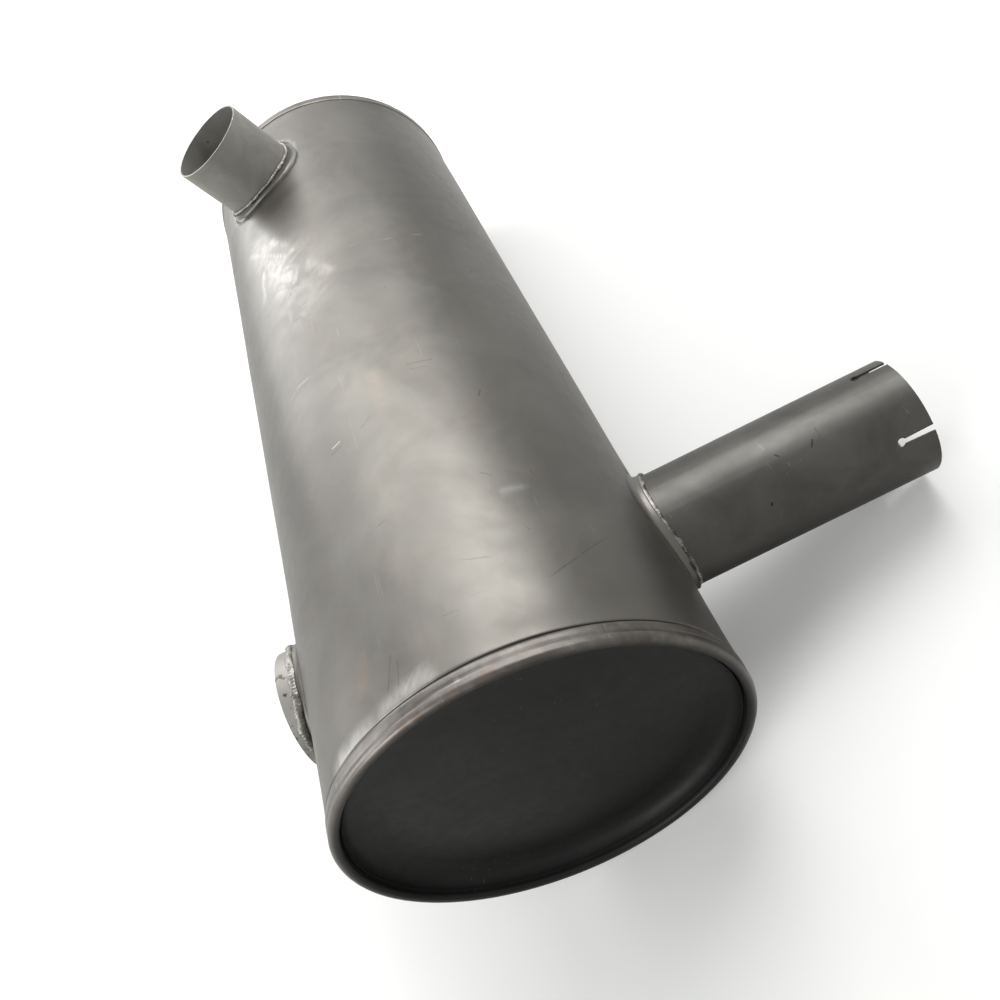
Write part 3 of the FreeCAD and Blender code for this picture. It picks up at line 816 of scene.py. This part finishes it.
@dataclass
class Barrel:
    """Rolled sheet between the two seams, with holes for the three necks."""

    around: int = 224
    pitch: float = 3.6
    wave_height: float = 0.16
    wave_count: int = 6
    wave_sink: float = 1.6
    seed: int = 11
    hole_radius: float = 43.4
    rim_reach: float = 0.45
    skirt_fade: float = 26.0
    seam_fade: float = 14.0
    shoulder_inner: float = 118.6
    shoulder_start: float = 8.0
    shoulder_foot: float = 12.0
    shoulder_top: float = 13.15
    shoulder_bend: float = 0.8
    dents: tuple[Dent, ...] = (
        Dent(98.0, 178.0, 22.0, 24.0, 1.3),
        Dent(100.0, 95.0, 30.0, 55.0, 0.8),
        Dent(84.0, -20.0, 16.0, 70.0, 0.5),
        Dent(104.0, -60.0, 14.0, 60.0, 0.45),
        Dent(62.0, -318.0, 26.0, 12.0, 0.5),
        Dent(100.0, -300.0, 20.0, 26.0, 0.5),
        Dent(30.0, 40.0, 18.0, 30.0, 0.35),
        Dent(24.6, 6.8, 2.5, 3.0, 0.25),
        Dent(-60.0, 120.0, 30.0, 40.0, 0.7),
        Dent(215.0, -40.0, 40.0, 60.0, 0.8),
        Dent(160.0, 60.0, 26.0, 50.0, 0.5),
    )

    def profile(self) -> np.ndarray:
        """Outside of the barrel from one seam to the other, as (radius, along) points.

        Returns:
            A line that is fine over the shoulders and coarse over the wall.
        """
        half = SIZES.half_length
        corners = [
            (self.shoulder_inner, -half + self.shoulder_start),
            (self.shoulder_inner, -half + self.shoulder_foot),
            (SIZES.barrel_radius, -half + self.shoulder_top),
            (SIZES.barrel_radius, 0.0),
        ]
        points, _ = bent_line(corners, [self.shoulder_bend, self.shoulder_bend])
        depth = points[:, 1] + half
        thin = thin_out(points, np.clip((depth - 12.0) * 0.35, 0.45, self.pitch))
        return np.concatenate([thin, (thin * (1, -1))[::-1][1:]])

    def wall(self) -> np.ndarray:
        """Grid of points on the outside, with waves and dents.

        The radius is the profile's, less a sum of products of cosines round and along the
        barrel and a bell for each dent. Both fade out near the seams and the necks.

        Returns:
            Points by place along the barrel and angle round it.
        """
        line = self.profile()
        turn = circle(self.around).T
        radius, along = line[:, :1], line[:, 1:]
        rng = np.random.default_rng(self.seed)
        waves = np.zeros((len(line), self.around))
        for _ in range(self.wave_count):
            across, lengthwise = rng.integers(2, 11), rng.uniform(110, 420)
            phase = rng.uniform(0, 2 * np.pi, 2)
            waves += np.cos(across * turn + phase[0]) * np.cos(2 * np.pi * along / lengthwise + phase[1])
        depth = (waves / self.wave_count**0.5 + self.wave_sink) * self.wave_height
        for dent in self.dents:
            off = (np.degrees(turn) - dent.angle + 180) % 360 - 180
            arc = np.radians(off) * SIZES.barrel_radius
            lengthwise = (along - dent.along) / dent.half_length
            depth += dent.depth * np.exp(-((arc / dent.half_width) ** 2) - lengthwise**2)
        wall = self.place(np.full_like(depth, SIZES.barrel_radius), along, turn)
        from_seam = SIZES.half_length - SIZES.seam_height - 2 - np.abs(along)
        fade = np.clip(from_seam / self.seam_fade, 0, 1) * np.ones_like(depth)
        for branch in (SIZES.inlet, SIZES.stub, SIZES.outlet):
            from_neck = self.out_of(branch, wall) - self.hole_radius - 1
            fade = np.minimum(fade, np.clip(from_neck / self.skirt_fade, 0, 1))
        fade = fade * fade * (3 - 2 * fade)
        return self.place(radius - depth * fade, along, turn)

    @staticmethod
    def place(radius: np.ndarray, along: np.ndarray, turn: np.ndarray) -> np.ndarray:
        """Points at a radius, a place along Y and an angle from +X towards +Z."""
        along = along * np.ones_like(radius)
        return np.stack([radius * np.cos(turn), along, radius * np.sin(turn)], -1)

    @staticmethod
    def out_of(branch: Branch, points: np.ndarray) -> np.ndarray:
        """Distance of points from a branch's axis.

        Args:
            branch: the branch.
            points: places in millimetres.

        Returns:
            Distances, which are infinite on the barrel's other side.
        """
        away = points - branch.along * Y_AXIS
        reach = away @ branch.way
        out = np.linalg.norm(away - reach[..., None] * branch.way, axis=-1)
        return np.where(reach > 0, out, np.inf)

    def build(self, material: Material) -> Object:
        """Make the sheet, cut out the three holes and give it its thickness.

        Points next to a hole are drawn to its rim, along the wall.

        Args:
            material: the sheet's finish.

        Returns:
            The barrel's piece.
        """
        points = self.wall()
        rows, columns = points.shape[:2]
        quads = grid_faces(rows, columns, False, True)
        flat = points.reshape(-1, 3)
        for branch in (SIZES.inlet, SIZES.stub, SIZES.outlet):
            out = self.out_of(branch, flat)
            inside = out < self.hole_radius - self.pitch * self.rim_reach
            cut = inside[quads].any(1)
            edge = np.zeros(len(flat), bool)
            edge[np.unique(quads[cut])] = True
            quads = quads[~cut]
            edge &= ~inside
            away = flat[edge] - branch.along * Y_AXIS
            reach = away @ branch.way
            side = away - reach[:, None] * branch.way
            around = np.arctan2(side @ Y_AXIS, side @ branch.across)
            rim = np.full(edge.sum(), self.hole_radius)
            flat[edge] = branch.saddle(np.zeros_like(rim), rim, around)
        used = np.unique(quads)
        index = np.zeros(len(flat), int)
        index[used] = np.arange(len(used))
        quads = index[quads][:, ::-1]
        flat = flat[used]
        normal = np.cross(flat[quads[0, 1]] - flat[quads[0, 0]], flat[quads[0, 2]] - flat[quads[0, 0]])
        if normal @ (flat[quads[0, 0]] * (1, 0, 1)) < 0:
            quads = quads[:, ::-1]
        fields = {}
        for layer, patchy in (("smear", True), ("shade", False)):
            stains_and_shade = tuple(stain_or_shade for stain_or_shade in BARREL_STAINS_AND_SHADE if stain_or_shade.patchy == patchy)
            fields[layer + "_colour"], fields[layer + "_share"] = lay_stains_and_shade(flat, stains_and_shade)
        piece = make_object("barrel_sheet", flat, quads, False, **fields)
        solid = piece.modifiers.new("thickness", "SOLIDIFY")
        solid.thickness = SIZES.sheet * MM
        solid.offset = -1.0
        return on_root(piece, Slot.BARREL, material, "barrel")


@dataclass
class Neck:
    """Collar drawn out of the barrel's sheet round a pipe."""

    name: str
    branch: Branch
    seed: int
    around: int = 168
    skirt: float = 1.1
    wave: float = 0.22

    def section(self) -> np.ndarray:
        """Closed section of the collar as (out from the branch, height over the wall).

        A quarter circle leaves the wall, a straight side climbs to the lip, the lip turns inwards,
        and the inside comes back down with a quarter circle of its own.

        Returns:
            The section's points in order.
        """
        outer, sheet, bend = SIZES.neck_outer, SIZES.sheet, SIZES.neck_bend
        quarter = np.linspace(0, np.pi / 2, 9)
        fillet = np.stack([outer + bend * (1 - np.sin(quarter)), bend * (1 - np.cos(quarter))], 1)
        skirt = np.array([[outer + bend + self.skirt, -0.04], [outer + bend + 0.2, 0.0]])
        lip = np.linspace(0, np.pi, 7)
        middle, half = outer - sheet / 2, sheet / 2
        top = np.stack([middle + half * np.cos(lip), SIZES.neck_height - half + half * np.sin(lip)], 1)
        inner = outer - sheet
        fold = bend + sheet
        inside = np.stack([inner + fold * (1 - np.sin(quarter)), fold * (1 - np.cos(quarter)) - sheet], 1)[::-1]
        foot = np.array([[outer + bend + self.skirt, -sheet]])
        return np.concatenate([skirt, fillet[1:], top, inside, foot])

    def build(self, material: Material) -> Object:
        """Carry the section round the pipe over the barrel's curve.

        Args:
            material: the sheet's finish.

        Returns:
            The collar's piece.
        """
        section = self.section()
        around = circle(self.around)
        uneven = periodic_noise(self.around, 9, self.seed) * self.wave
        lift = section[:, 1] + uneven * np.clip(section[:, 1] / SIZES.neck_height, 0, 1) ** 2 - self.wave
        lift = np.where(section[:, 1] > 0.5, lift, section[:, 1])
        points = self.branch.saddle(lift, section[:, 0], around)
        piece = make_object(self.name, points, grid_faces(len(around), len(section), True, True), True)
        return on_root(piece, Slot.BARREL, material, "barrel")


@dataclass
class SaddleWeld:
    """Weld bead that joins a collar's lip to its pipe: an uneven ribbon with ripples, drops and pits."""

    name: str
    node: str
    branch: Branch
    seed: int
    around: int = 640
    section_points: int = 20
    height: float = 3.0
    width: float = 1.9
    foot: float = 4.5
    ripple_pitch: float = 2.1
    ripple_height: float = 0.13
    drops: int = 34
    drop_height: float = 0.6
    drop_size: float = 1.8
    toe_slag_and_shade: float = 0.85
    top: float = 3.0
    flush_at: float = 190.0
    flush_spread: float = 0.0
    flush_share: float = 0.45
    unevenness: float = 0.13
    sway: float = 0.45
    bite: float = 0.6
    sink: float = 0.9

    def build(self, material: Material) -> Object:
        """Carry an oval section along the saddle and roughen it.

        The section's centre lies in the corner between lip and pipe. Its size is one plus random
        waves, a sine ripple that leans back along the bead and a bell for each drop.

        Args:
            material: the weld's finish.

        Returns:
            The bead's piece.
        """
        rng = np.random.default_rng(self.seed)
        around = circle(self.around)
        part = circle(self.section_points).T
        length = 2 * np.pi * SIZES.pipe_radius
        size = 1 + self.unevenness * periodic_noise(self.around, 26, self.seed)
        sway = self.sway * periodic_noise(self.around, 12, self.seed + 1)
        ripple = np.sin(around * round(length / self.ripple_pitch) + 1.6 * np.cos(part) + 0.8 * sway)
        grow = np.zeros_like(around * part)
        spans = ((0, 2 * np.pi), (-0.3, 1.6), (0.3, 1.0))
        for place, side, scale in zip(*(rng.uniform(low, high, self.drops) for low, high in spans)):
            off = ((around - place + np.pi) % (2 * np.pi) - np.pi) * SIZES.pipe_radius
            turn = ((part - side + np.pi) % (2 * np.pi) - np.pi) * 2.0
            grow += scale * np.exp(-(off**2 + turn**2) / (self.drop_size * (0.5 + scale)) ** 2 * 2)
        bulge = self.ripple_height * ripple * np.clip(np.cos(part - 0.7), 0, 1) + self.drop_height * grow
        reach = self.width * size * (0.35 + 0.65 * np.cos(part)) + bulge * np.cos(part)
        out = np.maximum(SIZES.pipe_radius + SIZES.neck_gap + reach, SIZES.pipe_radius - self.bite)
        lift = self.foot + sway + self.height / 2 * size * (1 + np.sin(part)) - self.sink
        lift = lift + bulge * np.sin(part)
        lift = np.minimum(lift, SIZES.neck_height + self.top)
        turned = (np.degrees(around) - self.flush_at + 180) % 360 - 180
        flush = np.exp(-((turned / self.flush_spread) ** 4)) if self.flush_spread else np.zeros_like(around)
        out = out - (out - SIZES.pipe_radius).clip(0) * flush * self.flush_share
        points = self.branch.saddle(lift, out, around)
        quads = grid_faces(self.around, self.section_points, True, True)
        # The hollow share: painted shade in the bead's corners against the lip and the pipe, and slag along a
        # crack line where the bead lies flush
        toe = np.clip((0.25 - np.sin(part - 0.35)) / 0.6, 0, 1) + np.clip((-0.35 - np.cos(part)) / 0.4, 0, 1)
        blotches = periodic_noise(self.around, 40, self.seed + 2)
        patchy = np.clip(0.7 + 0.5 * blotches, 0.2, 1.2)
        crack = np.clip((np.sin(part + 0.5) - 0.55) / 0.3, 0, 1) * np.clip(patchy * 1.3, 0, 1)
        toe = toe * (1 - flush) + crack * flush
        hollow = np.clip(toe * patchy * self.toe_slag_and_shade, 0, 0.95)
        piece = make_object(self.name, points, quads, True, hollow=hollow)
        return on_root(piece, Slot.WELD, material, self.node)


@dataclass
class RingWeld:
    """Weld bead round the inside of the stub's end, in the corner over the cup's rim."""

    around: int = 360
    section_points: int = 16
    size: float = 0.95
    unevenness: float = 0.12
    ripples: int = 92
    ripple_share: float = 0.08
    seed: int = 31

    def build(self, material: Material) -> Object:
        """Carry a round section with ripples round the stub's axis.

        Args:
            material: the weld's finish.

        Returns:
            The bead's piece.
        """
        around = circle(self.around)
        part = circle(self.section_points).T
        uneven = self.unevenness * periodic_noise(self.around, 30, self.seed)
        size = self.size * (1 + uneven + self.ripple_share * np.sin(self.ripples * around + np.cos(part)))
        out = SIZES.pipe_inner - self.size * 0.72 + size * np.cos(part)
        reach = SIZES.stub_reach - 1.0 + size * 0.8 * np.sin(part)
        out = np.minimum(out, SIZES.pipe_inner + 0.3)
        reach = np.minimum(reach, SIZES.stub_reach - 0.1)
        points = SIZES.stub.ring(reach, out, around)
        quads = grid_faces(self.around, self.section_points, True, True)
        piece = make_object("stub_cap_bead", points, quads, True)
        return on_root(piece, Slot.WELD, material, "inlet_cap_weld")


@dataclass
class BarrelWeld:
    """Low bead along the butt joint of the barrel's sheet, underneath."""

    angle: float = 235.0 - INLET_DIP
    half_width: float = 2.1
    height: float = 0.62
    start: float = 18.75
    pitch: float = 1.5
    unevenness: float = 0.08
    ripple_pitch: float = 5.2
    ripple_share: float = 0.12
    sink: float = 0.12
    section_points: int = 16
    root: float = 0.5
    taper: float = 3.0
    seed: int = 41

    def build(self, material: Material) -> Object:
        """Carry a flat lens section along the barrel, with ripples and tapered ends.

        Args:
            material: the weld's finish.

        Returns:
            The bead's piece.
        """
        length = 2 * (SIZES.half_length - self.start)
        along = np.linspace(-length / 2, length / 2, int(length / self.pitch))[:, None]
        part = circle(self.section_points).T
        uneven = periodic_noise(len(along) * 2, 60, self.seed)[: len(along)]
        ends = np.clip((length / 2 - np.abs(along)) / self.taper, 0, 1) ** 0.5
        width = self.half_width * (1 + self.unevenness * uneven) * ends
        arc = width * np.cos(part)
        ripple = self.ripple_share * np.sin(2 * np.pi * along / self.ripple_pitch + 2 * np.abs(np.cos(part)))
        crest = self.height * (0.8 + ripple) * ends
        low = -self.root * ends
        lift = np.where(np.sin(part) > 0, crest * np.sin(part), low * -np.sin(part)) - self.sink
        turn = math.radians(self.angle) + arc / SIZES.barrel_radius
        points = Barrel.place(SIZES.barrel_radius + lift, along, turn)
        quads = grid_faces(len(along), part.size, False, True)
        piece = make_object("barrel_joint_bead", points, quads, True)
        return on_root(piece, Slot.WELD, material, "barrel_seam_weld")


@dataclass
class Head:
    """Pressed head whose rim is hooked over the barrel's sheet and rolled flat."""

    name: str
    node: str
    end: int
    seed: int
    around: int = 300
    hook_clearance: float = 1.1
    swage_depth: float = 5.4
    swage_step: float = 1.4
    swage_rise: float = 1.0
    swage_bend: float = 0.9
    panel_depth: float = 17.0
    panel_corner: float = 12.0
    dome_rise: float = 5.0
    dome_break: float = 0.44
    dome_spread: float = 0.82
    line_place: float = 5.8
    line_sway: float = 0.55
    line_depth: float = 0.4
    line_width: float = 0.5
    line_darkening: float = 0.7
    roll_depth: float = 0.1
    rim_sag: float = 0.12
    rim_shade: float = 0.8
    panel_edge: float = 108.0
    panel_blend: float = 60.0
    panel_wave: float = 0.5

    def section(self) -> np.ndarray:
        """Section of the sheet, from the panel's middle outside to its middle inside.

        Returns:
            (radius, depth below the crest) points, fine on the seam and coarse on the panel.
        """
        pitch, sheet = SIZES.layer_pitch, SIZES.sheet
        hook, tip = SIZES.seam_radius - sheet / 2, SIZES.seam_radius - sheet / 2 - 2 * pitch
        wall = SIZES.seam_radius - sheet / 2 - 4 * pitch
        inner = wall - self.swage_step
        fold, crest = SIZES.seam_height - sheet / 2, sheet / 2
        middle = self.panel_depth - self.dome_rise
        corners = [
            (tip, crest + 2 * pitch + self.hook_clearance), (tip, fold), (hook, fold), (hook, crest),
            (wall, crest), (wall, self.swage_depth), (inner, self.swage_depth + self.swage_rise),
            (inner, self.panel_depth), (inner * self.dome_break, middle), (0.0, middle),
        ]
        slope = math.atan(self.dome_rise / (inner * (1 - self.dome_break)))
        spread = inner * self.dome_break * self.dome_spread / math.tan(slope / 2)
        folds = [pitch, pitch, 2 * pitch, 2 * pitch]
        points, normals = bent_line(corners, folds + [self.swage_bend] * 2 + [self.panel_corner, spread])
        sides = []
        for offset in (-sheet / 2, sheet / 2):
            side = points + normals * offset
            spacing = np.where(side[:, 0] > 112, 0.42, 4.5) * (1.0 if offset < 0 else 2.2)
            sides.append(thin_out(side, spacing))
        return np.concatenate([sides[0][::-1], sides[1]])

    def build(self, rim: Material, panel: Material) -> Object:
        """Turn the section round the barrel's axis, with rolled lines and a slightly uneven panel.

        The depth gains random waves over the panel, and the rolled band loses a bell-shaped line
        whose place wanders round the seam.

        Args:
            rim: finish of the rolled seam.
            panel: finish of the pressed panel.

        Returns:
            The head's piece, which closes at both poles.
        """
        section = self.section()
        turn = circle(self.around)
        radius, depth = section.T
        band = (section[:, 0] > SIZES.seam_radius - 0.6) & (section[:, 1] > 1.0)
        line = self.line_place + self.line_sway * periodic_noise(self.around, 5, self.seed)
        groove = np.exp(-(((depth - line) / self.line_width) ** 2))
        rolls = self.roll_depth * (1 + periodic_noise(self.around, 44, self.seed + 1) / 3)
        rolls = np.clip(rolls, 0, 0.3) * np.clip(depth / 4, 0, 1)
        radius = radius - band * (self.line_depth * groove + rolls)
        soft = np.clip((self.panel_edge - radius) / self.panel_blend, 0, 1)
        x, z = radius * np.cos(turn), radius * np.sin(turn)
        wave = np.cos(x / 31 + self.seed) * np.cos(z / 37 + 1) + 0.6 * np.cos(x / 17 - z / 23 + 2 * self.seed)
        depth = depth + self.panel_wave * wave * soft * soft * (3 - 2 * soft)
        rim_low = self.rim_sag * (1 + periodic_noise(self.around, 12, self.seed + 3) / 3)
        on_rim = np.clip((section[:, 0] - 116) / 3, 0, 1) * (section[:, 1] < 3)
        depth = depth + np.clip(rim_low, 0, 0.4) * on_rim
        points = np.stack([x, self.end * (SIZES.half_length - depth), z], -1)
        # The hollow share: darker along the rolled line and the hem, and painted shade on the rim's inner flank
        # where it turns into the recess
        worn = 0.6 + 0.4 * np.clip(periodic_noise(self.around, 9, self.seed + 4) / 2, -1, 1)
        hem = np.clip((section[:, 1] - SIZES.seam_height + 1.6) / 1.2, 0, 1) * (section[:, 0] > 121)
        inward = np.clip((SIZES.seam_radius - 0.9 - section[:, 0]) / 2.6, 0, 1) * (section[:, 1] < 4)
        hollow = np.clip((band * groove + hem) * self.line_darkening * worn + inward * self.rim_shade, 0, 1)
        quads = grid_faces(self.around, len(section), True, False)
        piece = make_object(self.name, points, quads, True, hollow=hollow)
        on_root(piece, Slot.HEAD, rim, self.node)
        piece.data.materials.append(panel)
        centre = np.zeros(len(piece.data.polygons) * 3)
        piece.data.polygons.foreach_get("center", centre)
        centre = centre.reshape(-1, 3) / MM
        inside = np.hypot(centre[:, 0], centre[:, 2]) < SIZES.seam_radius - 5.0
        piece.data.polygons.foreach_set("material_index", inside.astype(np.int32))
        piece.data.update()
        return piece


@dataclass
class Studio:
    """Pale floor, soft lamps, white surroundings and the camera of the reference view.

    The floor's half size and gap are millimetres, and all other places and distances are metres.
    """

    floor_half: float = 9000.0
    floor_gap: float = 0.05
    floor_glow: float = 0.18
    far_glow: float = 0.7
    glow_span: tuple[float, float] = (1.2, 4.5)
    dim_light: float = 0.62
    lens: float = 34.2575
    sensor: float = 36.0
    shift: tuple[float, float] = (0.01699, -0.10302)
    camera_place: tuple[float, float, float] = (0.218505, -0.5876, 0.45461)
    right: tuple[float, float, float] = (0.75151, -0.281869, -0.596475)
    up: tuple[float, float, float] = (0.62058, 0.60883, 0.494173)
    forward: tuple[float, float, float] = (-0.22386, 0.741536, -0.632464)

    def build(self) -> None:
        """Make the stage, the lamps and the camera."""
        self.floor()
        self.lamps()
        self.world()
        self.camera()

    def floor(self) -> None:
        """Make the floor that the seams and the inlet's lip rest on, white far away to the camera."""
        low = -SIZES.seam_radius - self.floor_gap
        half = self.floor_half
        corners = np.array([[-half, -half, low], [half, -half, low], [half, half, low], [-half, half, low]])
        floor = make_object("floor", corners, np.array([[0, 1, 2, 3]]), False)
        g = NodeGraph(bpy.data.materials.new("pale_matt_floor"))
        place = g.add("TexCoord", output="Object")
        grain = g.add("TexNoise", {"Vector": place, "Scale": 1 / (4 * MM), "Detail": 2.0})
        rough = g.add("MapRange", {"Value": grain, "To Min": 0.8, "To Max": 0.95})
        away = g.add("VectorMath", {0: place}, "Value", operation="LENGTH")
        near, far = self.glow_span
        fade = {"From Min": near, "From Max": far, "To Min": self.floor_glow, "To Max": self.far_glow}
        rise = g.add("MapRange", {"Value": away, **fade}, interpolation_type="SMOOTHSTEP")
        seen = g.add("LightPath", output="Is Camera Ray")
        look = {
            "Base Color": linear("#c8c8c6"),
            "Roughness": rough,
            "Emission Color": (1.0, 1.0, 1.0, 1.0),
            "Emission Strength": g.add("Math", {0: seen, 1: rise}, operation="MULTIPLY"),
        }
        g.add("OutputMaterial", {"Surface": g.add("BsdfPrincipled", look)})
        floor.data.materials.append(g.owner)

    def lamps(self) -> None:
        """Hang soft lamps behind, beside and in front of the muffler, all turned to its middle."""
        for name, place, size, power in (
            ("back_lamp", (-0.2, 2.2, 2.2), 1.6, 40.0),
            ("right_lamp", (1.35, 1.1, 2.0), 1.65, 72.0),
            ("rear_lamp", (-2.5, 4.5, 1.8), 1.9, 64.0),
            ("left_lamp", (-2.6, 0.6, 1.5), 1.6, 31.0),
            ("front_lamp", (-1.8, -1.8, 1.8), 1.6, 41.0),
        ):
            data = bpy.data.lights.new(name, "AREA")
            data.size = size
            data.energy = power
            lamp = bpy.data.objects.new(name, data)
            bpy.context.scene.collection.objects.link(lamp)
            lamp.matrix_world = Matrix.Translation(place) @ self.facing(np.array(place))

    @staticmethod
    def facing(back: np.ndarray) -> Matrix:
        """Rotation whose local +Z points along a vector.

        Args:
            back: the vector.

        Returns:
            A matrix with its local X level.
        """
        z = back / np.linalg.norm(back)
        x = np.cross([0, 0, 1], z)
        x /= np.linalg.norm(x)
        return Matrix(np.stack([x, np.cross(z, x), z], 1).tolist()).to_4x4()

    def world(self) -> None:
        """White surroundings for the camera and in reflections, and a dim even light otherwise."""
        world = bpy.data.worlds.new("studio")
        bpy.context.scene.world = world
        g = NodeGraph(world)
        camera, glossy, clear = (
            g.add("LightPath", output=f"Is {ray} Ray") for ray in ("Camera", "Glossy", "Transmission")
        )
        seen = g.add("Math", {0: camera, 1: glossy}, operation="MAXIMUM")
        seen = g.add("Math", {0: seen, 1: clear}, operation="MAXIMUM")
        dim = g.add("Background", {"Strength": self.dim_light})
        white = g.add("Background", {"Color": (1.0, 1.0, 1.0, 1.0), "Strength": 1.0})
        g.add("OutputWorld", {"Surface": g.add("MixShader", {0: seen, 1: dim, 2: white})})

    def camera(self) -> None:
        """Put the camera at the reference view, rolled as it was held."""
        data = bpy.data.cameras.new("camera")
        data.lens = self.lens
        data.sensor_width = self.sensor
        data.shift_x, data.shift_y = self.shift
        camera = bpy.data.objects.new("camera", data)
        bpy.context.scene.collection.objects.link(camera)
        columns = np.stack([self.right, self.up, -np.array(self.forward)], 1)
        camera.matrix_world = Matrix.Translation(self.camera_place) @ Matrix(columns.tolist()).to_4x4()
        bpy.context.scene.camera = camera


@dataclass
class KeptNodes:
    """CAD nodes whose shape is right: the pipes, their cups and everything sealed inside."""

    inlet: tuple[str, ...] = ("inlet_pipe",)
    outlet: tuple[str, ...] = ("outlet_pipe", "inlet_end_cap")
    inner: tuple[str, ...] = (
        "outlet_end_cap", "front_baffle", "rear_baffle", "front_transfer_tube_right",
        "front_transfer_tube_left", "rear_transfer_tube_upper", "rear_transfer_tube_lower",
    )
    welds: tuple[str, ...] = (
        "outlet_cap_weld", "front_baffle_tacks", "rear_baffle_tacks", "front_tube_welds", "rear_tube_welds",
    )

    def dress(self, weld: Material) -> None:
        """Give each node its finish.

        Args:
            weld: finish of the welds inside.
        """
        finishes = (PIPE_STEEL.material(), OUTLET_STEEL.material(), INNER_STEEL.material(), weld)
        for names, material in zip((self.inlet, self.outlet, self.inner, self.welds), finishes):
            for name in names:
                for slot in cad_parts[name].material_slots:
                    slot.material = material
                log.info("%s: kept, %s", name, material.name)


# Beads that join the pipes to their necks
NECK_BEADS = (
    SaddleWeld(
        "inlet_neck_bead", "inlet_neck_weld", SIZES.inlet, 21, width=1.7, flush_spread=62.0, flush_share=0.6
    ),
    SaddleWeld(
        "stub_neck_bead", "stub_neck_weld", SIZES.stub, 22,
        height=5.4, width=2.2, top=4.6, toe_slag_and_shade=0.5, drops=60,
    ),
    SaddleWeld(
        "outlet_neck_bead", "outlet_neck_weld", SIZES.outlet, 24,
        width=2.2, ripple_height=0.2, ripple_pitch=2.6, toe_slag_and_shade=0.6,
    ),
)


def main() -> None:
    """Build the muffler's pieces and the studio."""
    logging.basicConfig(level=logging.INFO, format="%(message)s")
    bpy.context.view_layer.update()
    bpy.context.scene.view_settings.view_transform = "Standard"
    barrel_steel = BARREL_STEEL.material()
    seam_steel = SEAM_STEEL.material()
    head_steel = HEAD_STEEL.material()
    weld_steel = WELD_STEEL.material()
    KeptNodes().dress(weld_steel)
    Barrel().build(barrel_steel)
    Head("near_head_pressing", "near_head", -1, 5).build(seam_steel, head_steel)
    Head("far_head_pressing", "far_head", 1, 8).build(seam_steel, head_steel)
    Neck("inlet_neck", SIZES.inlet, 3).build(barrel_steel)
    Neck("stub_neck", SIZES.stub, 4).build(barrel_steel)
    Neck("outlet_neck", SIZES.outlet, 5).build(barrel_steel)
    for bead in NECK_BEADS:
        bead.build(weld_steel)
    RingWeld().build(weld_steel)
    BarrelWeld().build(weld_steel)
    Studio().build()
    bpy.context.view_layer.update()


if __name__ == "__main__":
    main()
